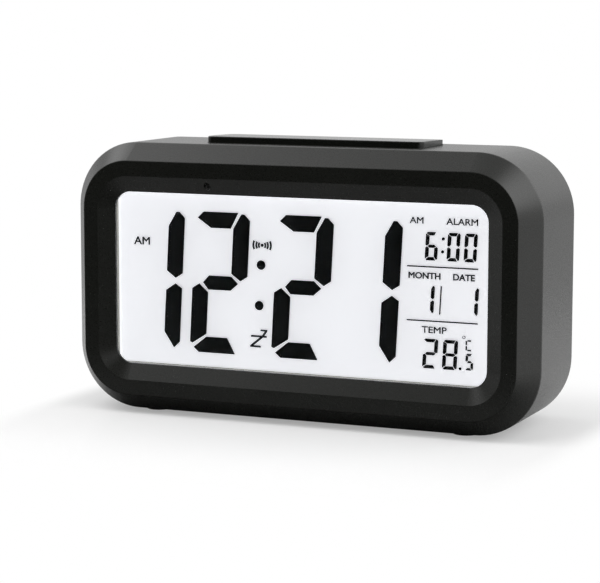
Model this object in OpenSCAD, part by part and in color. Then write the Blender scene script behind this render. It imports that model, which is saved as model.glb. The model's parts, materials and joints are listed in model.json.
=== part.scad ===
// Desk alarm clock: a rounded sleeve with a bevelled front frame, a segment display, a snooze bar on top,
// and a tapered rear cover that holds the cells, the setting buttons and the sounder.
// X runs to the right seen from the front, Y to the rear, Z up. The origin is under the middle of the clock.

/* [Case] */
// Width of the case
body_w = 135; // [130:0.5:160]
// Height of the case without its feet
body_h = 74.4; // [72:0.2:90]
// Depth from the front frame to the flat of the rear cover
body_d = 45; // [42:0.5:60]
// Corner radius of the case seen from the front
corner_r = 18; // [16:0.5:22]
// Wall of the front shell
shell_wall = 2.2; // [1.6:0.1:2.4]
// Width of the outer chamfer seen from the front
chamfer_w = 4.7; // [3.5:0.1:5.5]
// Depth of the outer chamfer
chamfer_d = 6.5; // [5:0.1:8]
// Width of the flat ring round the front
ring_w = 4.2; // [3.4:0.1:4.6]
// Width of the inner bevel that falls to the window
bevel_w = 4.45; // [3.6:0.05:4.9]
// Depth of the inner bevel
bevel_d = 2.2; // [1.2:0.1:3]
// Thickness of the frame at the edge of the window
lip_t = 0.8; // [0.6:0.1:1.4]
// Radius that rounds the edges of the frame
edge_r = 0.4; // [0.2:0.05:0.6]

/* [Rear cover] */
// Depth of the rear cover
cover_d = 10.5; // [9.5:0.5:14]
// Step from the shell in to the cover
seam_step = 0.4; // [0.2:0.1:0.8]
// Taper of the cover on each side
cover_taper = 3.1; // [2.6:0.1:3.4]
// Width and depth of the cover's last edge
cover_edge = 0.7; // [0.4:0.1:1]
// Wall of the rear cover
cover_wall = 2; // [1.6:0.1:2.4]
// Thickness of the lip that enters the shell
cover_lip_t = 1.4; // [1:0.1:1.8]
// Length of the lip that enters the shell
cover_lip_l = 3; // [2:0.1:4]
// Gap between the lip and the shell
lip_gap = 0.15; // [0.1:0.05:0.25]

/* [Fasteners] */
// Shank diameter of the case screws
case_screw_d = 2.6; // [2:0.1:2.8]
// Length of the case screws under the head
case_screw_l = 10; // [8:1:14]
// Head diameter of the case screws
case_head_d = 4.4; // [4:0.1:4.6]
// Shank diameter of the board screws
board_screw_d = 2; // [1.6:0.1:2.2]
// Head diameter of the board screws
board_head_d = 3.6; // [3:0.1:3.8]
// Distance of the case screws from the sides of the case
screw_from_side = 22.5; // [21:0.5:26]
// Distance of the case screws from the top and bottom of the case
screw_from_top = 7.1; // [7:0.1:7.2]
// Diameter of the case screw posts
post_d = 5.2; // [4.4:0.1:5.3]
// Wall round a screw well
well_wall = 1.2; // [0.8:0.1:1.5]
// Gap round a shank in its pilot hole
pilot_gap = 0.02; // [0.01:0.01:0.04]
// Gap round a shank in a through hole, and round a head in its well
screw_clear = 0.2; // [0.15:0.05:0.25]

/* [Feet] */
// Diameter of a foot
foot_d = 7; // [5:0.5:8]
// Height that a foot stands proud of the case
foot_proud = 0.6; // [0.4:0.1:1.2]
// Depth that a foot sits in the case
foot_seat = 0.4; // [0.3:0.1:0.6]
// Distance of the feet from the sides of the case
foot_from_side = 22; // [20:1:30]
// Distance of the front feet from the front, and of the rear feet from the seam
foot_from_edge = 11.5; // [11:0.5:12]

/* [Snooze bar] */
// Distance from each side of the case to the end of the bar
bar_from_side = 35.85; // [34.5:0.05:39.5]
// Width of the bar
bar_w = 17.6; // [11.6:0.1:18]
// Distance from the front of the case to the bar
bar_from_front = 13.5; // [11.2:0.1:13.8]
// Height that the bar stands above the case
bar_proud = 1.7; // [1.2:0.1:3]
// Corner radius of the bar
bar_r = 1.7; // [1:0.1:3]
// Wall of the bar
bar_wall = 1.6; // [1.2:0.1:1.7]
// Fall of the bar's top from its crest to its rear edge
bar_fall = 0.35; // [0.2:0.05:0.5]
// Chamfer round the top of the bar
bar_edge = 0.2; // [0.2:0.1:0.6]
// Gap round the bar in its slot
bar_gap = 0.25; // [0.15:0.05:0.35]
// Height of the bar's flange
flange_t = 1.2; // [1:0.1:1.5]
// Reach of the bar's flange under the case
flange_out = 1.2; // [0.8:0.1:1.4]
// Distance from the end of the bar to its springs
spring_from_end = 7.75; // [6.75:0.25:13.75]
// Distance from the end of the bar out to the posts of its board
snooze_post_out = 5.25; // [4.25:0.25:7.25]
// Travel of the bar
snooze_travel = 0.8; // [0.5:0.1:1]
// Wire diameter of the snooze springs
spring_wire = 0.4; // [0.3:0.05:0.5]
// Mean diameter of the snooze springs
spring_d = 4.6; // [4.2:0.1:5]
// Drop from the top wall to the snooze board
snooze_drop = 6.9; // [6.7:0.1:7.2]
// Width of the snooze board
snooze_board_w = 9; // [8:0.1:9.2]

/* [Display] */
// Thickness of the adhesive ring behind the frame
tape_t = 0.15; // [0.1:0.05:0.25]
// Thickness of the window
lens_t = 1; // [0.8:0.1:1.5]
// Overlap of the window and the glass behind the frame
glass_over = 1.2; // [0.9:0.1:1.4]
// Air gap behind the window
lens_gap = 0.2; // [0.1:0.05:0.5]
// Thickness of each display glass
glass_t = 0.7; // [0.5:0.1:0.9]
// Thickness of a polariser
polariser_t = 0.15; // [0.1:0.05:0.25]
// Thickness of the layer between the glasses
segment_t = 0.1; // [0.1:0.05:0.2]
// Height of the contact ledge along the bottom of the front glass
ledge_h = 1.8; // [1.6:0.1:2]
// Thickness of the light guide
guide_t = 2.5; // [2:0.1:3]
// Thickness of the diffuser and reflector films
film_t = 0.15; // [0.1:0.05:0.25]
// Wall of the display holder
holder_wall = 1.2; // [1:0.1:1.3]
// Back plate of the display holder
holder_plate_t = 1.2; // [1:0.1:1.6]
// Gap round the glass in the holder
glass_gap = 0.2; // [0.1:0.05:0.25]
// Gap between the holder's plate and the main board
board_gap = 1; // [0.8:0.1:1.5]
// Thickness of the circuit boards
board_t = 1.2; // [1:0.1:1.6]
// Distance of the holder's lugs above and below the middle
lug_z = 15; // [10:0.5:17]
// Diameter of the posts for the holder
lug_post_d = 4.4; // [3.6:0.1:4.6]

/* [Display figures] */
// Hour tens, hour units, minute tens and minute units
time_figures = [1, 2, 2, 1];
// Alarm hour, and its two minute figures
alarm_figures = [6, 0, 0];
// Last figure of the month and of the date
date_figures = [1, 1];
// Tens, units and tenths of the temperature
degree_figures = [2, 8, 5];
// Lean of the figures, as run over rise
lean = 0.0526; // [0:0.0001:0.1]
// Height of the large figures
figure_h = 38.9; // [34:0.1:40]
// Width of the large figures
figure_w = 16.5; // [15:0.1:17]
// Width of the upright strokes of the large figures
figure_stroke = 4.9; // [3.6:0.1:5.2]
// Gap between strokes of the large figures
figure_gap = 0.75; // [0.5:0.05:1]
// Distance from one large figure to the next
figure_pitch = 19.6; // [18.6:0.05:19.8]
// Extra distance across the colon
colon_space = 4.95; // [4.4:0.05:5]
// Diameter of the colon's dots
colon_d = 2.6; // [2:0.1:2.8]

/* [Rear controls] */
// Gap from the rim of the battery bay up to the button board
controls_gap = 2.25; // [1.85:0.1:2.65]
// Distance from one button to the next
button_pitch = 13; // [11:0.5:13.5]
// Diameter of a button
button_d = 7; // [5.5:0.1:7.4]
// Gap round a button in its hole
button_gap = 0.15; // [0.1:0.05:0.25]
// Travel of a button
button_travel = 0.4; // [0.25:0.05:0.5]
// Width of the recess for the controls
pocket_w = 84; // [80:1:90]
// Height of the recess for the controls
pocket_h = 12; // [10:0.2:12.4]
// Depth of the recess for the controls
pocket_d = 1.2; // [0.8:0.1:1.6]
// Place of the slide switch from the middle of the case
slider_x = 28; // [25:0.5:29]
// Travel of the slide switch
slider_travel = 2; // [1.5:0.1:2.5]
// Length of the slide switch's grip
slider_l = 4.5; // [3.5:0.1:5]

/* [Battery bay] */
// Length of a cell with its button
cell_l = 44.5; // [43.5:0.1:45]
// Diameter of a cell
cell_d = 10.5; // [9.8:0.1:10.6]
// Gap between cells and round them
cell_gap = 0.5; // [0.3:0.05:0.6]
// Length of a fitted contact spring
cell_spring_l = 3.6; // [3:0.1:4]
// Thickness of the contact plates
plate_t = 0.4; // [0.3:0.05:0.5]
// Wall of the battery bay
bay_wall = 1.5; // [1.2:0.1:1.6]
// Distance from the side of the case to the bay
bay_from_side = 10; // [9.5:0.1:12]
// Height of the middle of the bay above the bottom of the case
bay_up = 29.4; // [29:0.1:29.6]
// Thickness of the battery door
door_t = 1.8; // [1.5:0.1:2]
// Thickness of the door's tongues
tongue_t = 0.8; // [0.6:0.1:1]
// Reach of the door's tongues into their grooves
tongue_w = 0.8; // [0.5:0.1:0.9]
// Gap round the door
door_gap = 0.1; // [0.08:0.01:0.15]

/* [Sounder] */
// Diameter of the sounder
sounder_d = 24; // [20:0.5:25]
// Height of the sounder
sounder_h = 5; // [4:0.1:6]
// Distance from the side of the case to the middle of the sounder
sounder_from_side = 31; // [30:0.5:33]
// Height of the middle of the sounder above the bottom of the case
sounder_up = 29; // [28:0.5:30]

/* [Hidden] */
$fn = 64;
eps = 0.01;

// Case planes
front_y = -body_d / 2;
rear_y = body_d / 2;
seam_y = rear_y - cover_d;
sleeve_d = body_d - cover_d;
mid_z = foot_proud + body_h / 2;
top_z = foot_proud + body_h;

// Front frame. Depths are counted from the front of the case to the rear.
open_inset = chamfer_w + ring_w + bevel_w;
open_w = body_w - 2 * open_inset;
open_h = body_h - 2 * open_inset;
open_r = corner_r - open_inset;
lip_d = bevel_d + lip_t;
chamfer_a = atan(chamfer_w / chamfer_d);
chamfer_in_d = chamfer_d + shell_wall * tan(chamfer_a / 2);
chamfer_in_w = (shell_wall + (chamfer_d - lip_d) * sin(chamfer_a)) / cos(chamfer_a);

// Display stack, from the front to the rear
lens_d0 = lip_d + tape_t;
polariser_d0 = lens_d0 + lens_t + lens_gap;
glass_d0 = polariser_d0 + polariser_t;
segment_d0 = glass_d0 + glass_t;
rear_glass_d0 = segment_d0 + segment_t;
rear_polariser_d0 = rear_glass_d0 + glass_t;
film_gap = 0.1;
diffuser_d0 = rear_polariser_d0 + polariser_t + film_gap;
guide_d0 = diffuser_d0 + film_t;
reflector_d0 = guide_d0 + guide_t;
plate_d0 = reflector_d0 + film_t;
plate_d1 = plate_d0 + holder_plate_t;
board_d0 = plate_d1 + board_gap;
board_d1 = board_d0 + board_t;
under_edge = 0.3;
glass_x = open_w / 2 + glass_over;
glass_z1 = open_h / 2 + glass_over;
stack_z0 = -open_h / 2 - under_edge;
glass_z0 = stack_z0 - ledge_h;
holder_x = glass_x + glass_gap + holder_wall;
holder_z1 = glass_z1 + glass_gap + holder_wall;
holder_z0 = glass_z0 - glass_gap - holder_wall;
lug_gap = 1;
lug_drop = 1;
lug_d = lug_post_d + 0.8;
lug_x = holder_x + lug_gap + lug_post_d / 2;
lug_d0 = plate_d0 - lug_drop;
lug_screw_l = 7;
seal_w = 0.6;
tape_back = 0.2;
holder_floor_side = 14;
holder_floor_end = 12;
board_ledge_h = 8;

// Backlight at the left end of the light guide
lamp_board_t = 0.8;
lamp_board_h = 40;
lamp_tab_z = 15;
lamp_tab_w = 4;
lamp_count = 5;
lamp_pitch = 8;
lamp_size = [1.6, 1.6, 3];
guide_x0 = -glass_x + lamp_board_t + lamp_size[0] + film_gap;

// Elastomer connector along the ledge of the front glass
elastomer_l = 92;
elastomer_short = 0.3;
elastomer_h = ledge_h - elastomer_short;
elastomer_z = glass_z0 + ledge_h / 2;

// Light pipe in the inner bevel
pipe_x = -25.35;
pipe_d = 1.8;
pipe_gap = 0.1;
pipe_off = 0.15;
pipe_z = glass_z1 + pipe_d / 2 + pipe_off;
pipe_depth = bevel_d * (body_h / 2 - pipe_z - chamfer_w - ring_w) / bevel_w + pipe_d / 4;
sensor_size = [2, 1, 1.2];
pipe_end_d = board_d0 - sensor_size[1];

// Screws
case_head_h = 1.7;
board_head_h = 1.3;
screw_x = body_w / 2 - screw_from_side;
screw_z = body_h / 2 - screw_from_top;
well_d = case_head_d + 2 * screw_clear;
tube_d = well_d + 2 * well_wall;
post_short = 2;
tube_gap = 0.1;
seat_t = 1.6;
post_end_y = seam_y - post_short;
head_seat_y = post_end_y + tube_gap + seat_t;
board_screw_l = 5;
pilot_spare = 0.5;

// Rear cover
taper_d = cover_d - cover_edge;
taper_in = seam_step + cover_taper;
rear_in = taper_in + cover_edge;
cover_lip_in = shell_wall + lip_gap + cover_lip_t;
cavity_d = cover_d - cover_wall;
cavity_in = seam_step + cover_taper * cavity_d / taper_d + cover_wall;

// Snooze bar
bar_l = body_w - 2 * bar_from_side;
spring_x = bar_l / 2 - spring_from_end;
bar_y = front_y + bar_from_front + bar_w / 2;
bar_top = top_z + bar_proud;
bar_hollow_r = max(bar_r - bar_wall, 0.4);
slope_run = 0.7 * bar_w;
slope_angle = atan(bar_fall / slope_run);
flange_room = 0.3;
flange_x = bar_l / 2 + flange_out + flange_room;
flange_y = bar_y + bar_w / 2 + flange_out + flange_room;
wall_z = top_z - shell_wall;
rest_gap = 0.1;
switch_h = 3.5;
flange_z1 = wall_z - rest_gap;
flange_z0 = flange_z1 - flange_t;
snooze_board_z = wall_z - snooze_drop;
touch_gap = 0.05;
press_spare = 0.2;
snooze_plunger_up = snooze_travel + press_spare;
snooze_press_z = snooze_board_z + switch_h + snooze_plunger_up + touch_gap;
snooze_post_in = 3;
snooze_post_x = bar_l / 2 + snooze_post_out;
snooze_board_l = 2 * (snooze_post_x + snooze_post_in);
snooze_post_d = 4.4;
snooze_turns = 5;
spring_boss_wall = 0.7;
spring_guide_gap = 0.6;
spring_guide_l = 2.4;
press_post_d = 4;

// Tact switches, shared by the snooze bar and the buttons
switch_w = 6;
plunger_d = 3.4;
plunger_in = 1.4;
plunger_gap = 0.08;
bore_in = 2.6;

// Battery bay
bay_x1 = body_w / 2 - bay_from_side;
contact_gap = 0.1;
bay_l = cell_l + cell_spring_l + 2 * plate_t + contact_gap;
bay_x0 = bay_x1 - bay_l;
bay_z = foot_proud + bay_up;
cell_pitch = cell_d + cell_gap;
bay_h = 3 * cell_d + 4 * cell_gap;
door_in_y = rear_y - door_t;
ledge_y = door_in_y - door_gap;
cell_y = ledge_y - cell_gap - cell_d / 2;
cell_floor_gap = 0.3;
bay_floor_y = cell_y - cell_d / 2 - cell_floor_gap;
door_over = 0.9;
door_h = bay_h + 2 * door_over;
door_past_bay = 3;
door_x0 = bay_x0 - door_past_bay;
rim_w = 1.6;
rim_t = 1.8;
door_half = door_h / 2 + door_gap;
groove_half = door_half + tongue_w;
plate_w = 8.5;
plate_h = 10;
contact_coil_d = [7, 4];
contact_wire = 0.5;
contact_turns = 3;
cell_z = [for (i = [1, 0, -1]) bay_z + i * cell_pitch];
cell_nub_d = 3.8;
cell_nub_l = 0.9;

// Rear controls
button_board_h = 10;
controls_z = bay_z + groove_half + rim_w + controls_gap + button_board_h / 2;
pocket_y = rear_y - pocket_d;
pocket_in_y = pocket_y - cover_wall;
button_x0 = -30.5;
button_x = [for (i = [0:3]) button_x0 + i * button_pitch];
button_below = 0.3;
button_flange_t = 1;
button_flange_out = 1;
flange_gap = 0.1;
button_stem_l = 0.5;
button_flange_y = pocket_in_y - flange_gap - button_flange_t;
button_plunger_up = button_travel + press_spare;
button_press_y = button_flange_y - button_stem_l;
button_board_y = button_press_y - touch_gap - button_plunger_up - switch_h;
post_from_button = 4;
post_from_slider = 10;
button_post_x = [button_x0 - button_d / 2 - post_from_button, slider_x + post_from_slider];
button_post_d = 4.4;
button_board_end = 3;
button_edge = 0.4;
button_dish_rim = 1.2;
button_dish_d = 0.35;
button_stem_r = 1.6;
pocket_r = 2;
slider_h = 3.2;
slider_gap = 0.2;
slider_body = [8.6, 4.4];
slider_foot = [3, 1.4];
slider_well_d = 1.5;
slider_foot_d = 1.2;
slider_grip_in = 1;
ridge_w = 0.5;
ridge_step = 1.2;
ridge_d = 0.4;

// Sounder
sounder_x = -body_w / 2 + sounder_from_side;
sounder_z = foot_proud + sounder_up;
sounder_wall = 1.2;
sounder_ledge = 1;
sounder_ring_t = 1.2;
sounder_ring_h = 2;
sounder_y = rear_y - cover_wall;
piezo_t = 0.25;
slot_w = 1.6;
slot_pitch = 3.2;
slots_r = 8;

// Colours
case_black = [0.1, 0.105, 0.115];
board_green = [0.09, 0.3, 0.16];
switch_black = [0.13, 0.13, 0.13];
steel = [0.72, 0.73, 0.74];
clear = [0.85, 0.9, 0.92, 0.35];

// ---- Shapes ----

module rounded(w, h, r) {
    square([w - 2 * r, h], center = true);
    square([w, h - 2 * r], center = true);
    for (x = [-1, 1], z = [-1, 1])
        translate([x * (w / 2 - r), z * (h / 2 - r)]) circle(r);
}

module box_between(low, high) {
    translate(low) cube(high - low);
}

// An outline in X and Z, from depth d0 to depth d1 behind the front of the case
module plate(d0, d1) {
    translate([0, front_y + d1, mid_z]) rotate([90, 0, 0]) linear_extrude(d1 - d0) children();
}

// A cylinder along Y, placed in the world
module rod_y(x, z, y0, y1, d) {
    translate([x, y1, z]) rotate([90, 0, 0]) cylinder(d = d, h = y1 - y0);
}

// The same at each of the four case screws, and at each of the four lugs of the display holder
module screw_rods(y0, y1, d) {
    for (x = [-1, 1], z = [-1, 1]) rod_y(x * screw_x, mid_z + z * screw_z, y0, y1, d);
}

module lug_rods(y0, y1, d) {
    for (x = [-1, 1], z = [-1, 1]) rod_y(x * lug_x, mid_z + z * lug_z, y0, y1, d);
}

// A box in X and Z round the middle of the case, from depth d0 to d1
module block(x0, x1, z0, z1, d0, d1) {
    box_between([x0, front_y + d0, mid_z + z0], [x1, front_y + d1, mid_z + z1]);
}

// Sweeps a profile of [inset, depth] points round a rounded rectangle, with depth along Y
module sweep(w, h, r, points) {
    for (i = [0:3]) {
        side = [[1, -1], [-1, -1], [-1, 1], [1, 1]][i];
        translate([side[0] * (w / 2 - r), 0, side[1] * (h / 2 - r)])
            rotate([0, 90 * i, 0]) rotate([-90, 0, 0])
                rotate_extrude(angle = 90) polygon([for (p = points) [r - p[0], p[1]]]);
    }
    for (m = [0, 1]) {
        mirror([m, 0, 0]) linear_extrude(h - 2 * r, center = true)
            polygon([for (p = points) [w / 2 - p[0], p[1]]]);
        mirror([0, 0, m]) rotate([90, 0, 90]) linear_extrude(w - 2 * r, center = true)
            polygon([for (p = points) [p[1], h / 2 - p[0]]]);
    }
}

// A sweep filled to the middle: the points run from the front edge to the rear edge of its side
module pad(w, h, r, points) {
    d0 = points[0][1];
    d1 = points[len(points) - 1][1];
    sweep(w, h, r, concat(points, [[r, d1], [r, d0]]));
    translate([0, (d0 + d1) / 2, 0]) cube([w - 2 * r, d1 - d0, h - 2 * r], center = true);
}

// A pad that stands up: its depth runs along Z
module pad_up(w, l, r, points) {
    rotate([90, 0, 0]) pad(w, l, r, points);
}

// An arc of points that rounds the corner b between a and c
function unit(v) = v / norm(v);
function fillet(a, b, c, r) =
    let (u = unit(a - b), v = unit(c - b), half = acos(u * v) / 2, run = r / tan(half))
    let (mid = b + unit(u + v) * r / sin(half), p = b + u * run - mid, q = b + v * run - mid)
    [for (t = [0:0.25:1]) mid + unit(p * (1 - t) + q * t) * r];

// A tube of round wire along a list of points
function turn(p, along, d, sides, ref) =
    let (u = unit(cross(along, ref)), v = unit(cross(u, along)))
    [for (i = [0:sides - 1]) p + d / 2 * (cos(360 * i / sides) * u + sin(360 * i / sides) * v)];
module wire(points, d, sides, ref) {
    n = len(points);
    rings = [for (i = [0:n - 1])
        turn(points[i], points[min(i + 1, n - 1)] - points[max(i - 1, 0)], d, sides, ref)];
    polyhedron(
        points = [for (r = rings) each r],
        faces = concat(
            [[for (i = [0:sides - 1]) i]],
            [[for (i = [sides - 1:-1:0]) (n - 1) * sides + i]],
            [for (k = [0:n - 2], i = [0:sides - 1]) let (j = (i + 1) % sides)
                [k * sides + i, (k + 1) * sides + i, (k + 1) * sides + j, k * sides + j]]
        )
    );
}

// A coil spring along Z whose mean diameter runs from d0 to d1
module coil(d0, d1, l, wire_d, turns) {
    steps = 12;
    n = turns * steps;
    rise = l - wire_d - 2 * touch_gap;
    wire(
        [for (i = [0:n]) let (t = i / n, r = (d0 + (d1 - d0) * t) / 2)
            [r * cos(360 * i / steps), r * sin(360 * i / steps), touch_gap + wire_d / 2 + rise * t]],
        wire_d, 6, [0, 0, 1]
    );
}

function curve(a, b, c, d) = [for (i = [0:12]) let (t = i / 12, s = 1 - t)
    s * s * s * a + 3 * s * s * t * b + 3 * s * t * t * c + t * t * t * d];

// A pan-head screw along -Z with its head above Z = 0 and a cross recess in the head
module screw(d, l, head_d, head_h) {
    recess = head_d * 0.55;
    recess_w = head_d * 0.14;
    difference() {
        union() {
            translate([0, 0, -l]) cylinder(d = d, h = l);
            cylinder(d1 = head_d, d2 = head_d * 0.86, h = head_h);
        }
        for (a = [0, 90]) rotate([0, 0, a])
            translate([0, 0, head_h]) cube([recess, recess_w, head_h], center = true);
    }
}

module tact_body() {
    difference() {
        translate([0, 0, switch_h / 2]) cube([switch_w, switch_w, switch_h], center = true);
        translate([0, 0, switch_h - bore_in]) cylinder(d = plunger_d + 2 * plunger_gap, h = bore_in + 1);
    }
}

module tact_plunger(up) {
    translate([0, 0, switch_h - plunger_in]) cylinder(d = plunger_d, h = plunger_in + up);
}

// ---- Case ----

shell_rim = [
    each fillet([0, sleeve_d], [0, chamfer_d], [chamfer_w, 0], 3 * edge_r),
    each fillet([0, chamfer_d], [chamfer_w, 0], [chamfer_w + ring_w, 0], edge_r),
    each fillet([chamfer_w, 0], [chamfer_w + ring_w, 0], [open_inset, bevel_d], edge_r),
    [open_inset, bevel_d],
    [open_inset, lip_d],
    [chamfer_in_w, lip_d],
    [shell_wall, chamfer_in_d],
    [shell_wall, sleeve_d],
    [edge_r, sleeve_d],
    [0, sleeve_d - edge_r]
];

module bar_slot() {
    translate([0, bar_y, flange_z0]) linear_extrude(bar_top - flange_z0)
        rounded(bar_l + 2 * bar_gap, bar_w + 2 * bar_gap, bar_r + bar_gap);
}

module front_shell() {
    post_y = front_y + lip_d - lip_t / 2;
    color(case_black) difference() {
        union() {
            translate([0, front_y, mid_z]) sweep(body_w, body_h, corner_r, shell_rim);
            screw_rods(post_y, post_end_y, post_d);
            lug_rods(post_y, front_y + lug_d0, lug_post_d);
            for (x = [-1, 1]) translate([x * snooze_post_x, bar_y, snooze_board_z])
                cylinder(d = snooze_post_d, h = snooze_drop + shell_wall / 2);
        }
        bar_slot();
        screw_rods(head_seat_y - case_screw_l - pilot_spare, post_end_y + eps, case_screw_d + 2 * pilot_gap);
        lug_rods(front_y + board_d1 - lug_screw_l - pilot_spare, front_y + lug_d0 + eps,
            board_screw_d + 2 * pilot_gap);
        for (x = [-1, 1]) translate([x * snooze_post_x, bar_y, snooze_board_z - eps])
            cylinder(d = board_screw_d + 2 * pilot_gap, h = board_screw_l - board_t + pilot_spare + eps);
        foot_places() translate([0, 0, -eps]) cylinder(d = foot_d, h = foot_seat + eps);
        rod_y(pipe_x, mid_z + pipe_z, front_y - 1, front_y + lip_d + 1, pipe_d + 2 * pipe_gap);
    }
}

module foot_places() {
    for (x = [-1, 1], y = [front_y + foot_from_edge, seam_y - foot_from_edge / 2])
        translate([x * (body_w / 2 - foot_from_side), y, foot_proud]) children();
}

module rubber_feet() {
    color([0.07, 0.07, 0.07]) foot_places()
        translate([0, 0, -foot_proud]) cylinder(d = foot_d, h = foot_proud + foot_seat);
}

module cover_outside() {
    translate([0, seam_y, mid_z]) pad(body_w, body_h, corner_r,
        [[seam_step, 0], [taper_in, taper_d], [rear_in, cover_d]]);
}

module bay_cut(out, x0, x1, y0) {
    box_between([x0, y0, bay_z - bay_h / 2 - out], [x1, rear_y + 1, bay_z + bay_h / 2 + out]);
}

module control_holes(grow, y0, y1) {
    for (x = button_x) rod_y(x, controls_z, y0, y1, button_d + 2 * grow);
    slot_l = slider_l + slider_travel + 2 * grow;
    slot_h = slider_h + 2 * grow;
    box_between([slider_x - slot_l / 2, y0, controls_z - slot_h / 2],
        [slider_x + slot_l / 2, y1, controls_z + slot_h / 2]);
}

module rear_cover() {
    side_x = body_w / 2 + 1;
    color(case_black) difference() {
        union() {
            difference() {
                union() {
                    cover_outside();
                    translate([0, seam_y, mid_z]) pad(body_w, body_h, corner_r,
                        [[shell_wall + lip_gap, -cover_lip_l], [shell_wall + lip_gap, 1]]);
                }
                translate([0, seam_y, mid_z]) pad(body_w, body_h, corner_r,
                    [[cover_lip_in, -cover_lip_l - 1], [cover_lip_in, 0], [cavity_in, cavity_d]]);
            }
            // thick places behind the control recess and round the bay
            translate([0, pocket_y, controls_z]) rotate([90, 0, 0]) linear_extrude(cover_wall)
                rounded(pocket_w + 2 * cover_wall, pocket_h + 2 * cover_wall, cover_wall);
            box_between([door_x0 - rim_w, ledge_y - rim_t, bay_z - groove_half - rim_w],
                [body_w / 2 - cavity_in, rear_y - cover_wall / 2, bay_z + groove_half + rim_w]);
            box_between([bay_x0 - bay_wall, bay_floor_y - bay_wall, bay_z - bay_h / 2 - bay_wall],
                [bay_x1 + bay_wall, ledge_y, bay_z + bay_h / 2 + bay_wall]);
            screw_rods(post_end_y + tube_gap, rear_y - cover_wall / 2, tube_d);
            for (x = button_post_x)
                rod_y(x, controls_z, button_board_y, pocket_y - cover_wall / 2, button_post_d);
            difference() {
                rod_y(sounder_x, sounder_z, sounder_y - sounder_ring_h, sounder_y + eps,
                    sounder_d + 2 * sounder_ring_t);
                rod_y(sounder_x, sounder_z, sounder_y - sounder_ring_h - 1, sounder_y,
                    sounder_d + 2 * touch_gap);
            }
        }
        // control recess, button holes and switch slot
        translate([0, rear_y + 1, controls_z]) rotate([90, 0, 0]) linear_extrude(pocket_d + 1)
            rounded(pocket_w, pocket_h, pocket_r);
        control_holes(button_gap, pocket_in_y - 1, rear_y);
        // bay, door seat and the two grooves, open to the side
        bay_cut(0, bay_x0, bay_x1, bay_floor_y);
        for (at = tab_at) contact_tab(at, plate_t / 4);
        box_between([door_x0 - door_gap, ledge_y, bay_z - door_half],
            [side_x, rear_y + 1, bay_z + door_half]);
        box_between([door_x0 - door_gap, ledge_y, bay_z - groove_half],
            [side_x, ledge_y + tongue_t + 2 * door_gap, bay_z + groove_half]);
        // room for the snooze bar and its flange where they reach the cover
        bar_slot();
        box_between([-flange_x, front_y, flange_z0 - snooze_travel - flange_room], [flange_x, flange_y, wall_z]);
        // screw wells
        screw_rods(head_seat_y, rear_y + 1, well_d);
        screw_rods(post_end_y - 1, rear_y, case_screw_d + 2 * screw_clear);
        for (x = button_post_x)
            rod_y(x, controls_z, button_board_y - 1, button_board_y + board_screw_l - board_t + pilot_spare,
                board_screw_d + 2 * pilot_gap);
        // sound slots
        for (i = [-2:2]) translate([sounder_x, rear_y + 1, sounder_z + i * slot_pitch])
            rotate([90, 0, 0]) linear_extrude(cover_wall + 2)
                rounded(2 * sqrt(slots_r * slots_r - pow(i * slot_pitch, 2)), slot_w, slot_w / 2 - eps);
    }
}

module battery_door() {
    grip_r = 7;
    ridge_pitch = 1.6;
    grip_deep = 0.6;
    grip_x = door_x0 + 10;
    color(case_black) difference() {
        intersection() {
            cover_outside();
            union() {
                box_between([door_x0, door_in_y, bay_z - door_h / 2],
                    [body_w / 2, rear_y, bay_z + door_h / 2]);
                box_between([door_x0, door_in_y, bay_z - door_h / 2 - tongue_w],
                    [body_w / 2, door_in_y + tongue_t, bay_z + door_h / 2 + tongue_w]);
            }
        }
        // thumb grip: a round recess with upright ridges left standing
        difference() {
            rod_y(grip_x, bay_z, rear_y - grip_deep, rear_y + 1, 2 * grip_r);
            for (i = [-3:3]) box_between([grip_x + i * ridge_pitch - 0.35, rear_y - 2, bay_z - grip_r - 1],
                [grip_x + i * ridge_pitch + 0.35, rear_y + 2, bay_z + grip_r + 1]);
        }
        // arrow that shows which way it slides
        translate([grip_x + grip_r + 3, rear_y + 1, bay_z]) rotate([90, 0, 0])
            linear_extrude(1.3) polygon([[0, -2.4], [4, 0], [0, 2.4]]);
    }
}

module case_screws() {
    color(steel) for (x = [-1, 1], z = [-1, 1])
        translate([x * screw_x, head_seat_y, mid_z + z * screw_z]) rotate([-90, 0, 0])
            screw(case_screw_d, case_screw_l, case_head_d, case_head_h);
}

// ---- Display ----

module glass_outline(z0) {
    translate([-glass_x, z0]) square([2 * glass_x, glass_z1 - z0]);
}

module lens_outline(over) {
    rounded(open_w + 2 * over, open_h + 2 * over, open_r + over);
}

module lens_tape() {
    color("white") plate(lip_d, lens_d0) difference() {
        lens_outline(glass_over);
        lens_outline(tape_back);
    }
}

module display_lens() {
    color(clear) plate(lens_d0, lens_d0 + lens_t) lens_outline(glass_over);
}

module front_polariser() {
    color(clear) plate(polariser_d0, glass_d0) glass_outline(stack_z0);
}

module front_glass() {
    color(clear) plate(glass_d0, segment_d0) glass_outline(glass_z0);
}

module edge_seal() {
    color([0.8, 0.8, 0.75]) plate(segment_d0, rear_glass_d0) difference() {
        glass_outline(stack_z0);
        translate([-glass_x + seal_w, stack_z0 + under_edge])
            square([2 * (glass_x - seal_w), glass_z1 - stack_z0 - under_edge - seal_w]);
    }
}

module rear_glass() {
    color(clear) plate(rear_glass_d0, rear_polariser_d0) glass_outline(stack_z0);
}

module rear_polariser() {
    color([0.93, 0.94, 0.96]) plate(rear_polariser_d0, rear_polariser_d0 + polariser_t)
        glass_outline(stack_z0);
}

module diffuser_film() {
    color("white") plate(diffuser_d0, guide_d0) glass_outline(stack_z0);
}

module light_guide() {
    color([0.9, 0.94, 1, 0.6]) block(guide_x0, glass_x, stack_z0, glass_z1, guide_d0, reflector_d0);
}

module reflector_film() {
    color("white") block(guide_x0, glass_x, stack_z0, glass_z1, reflector_d0, plate_d0);
}

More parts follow.
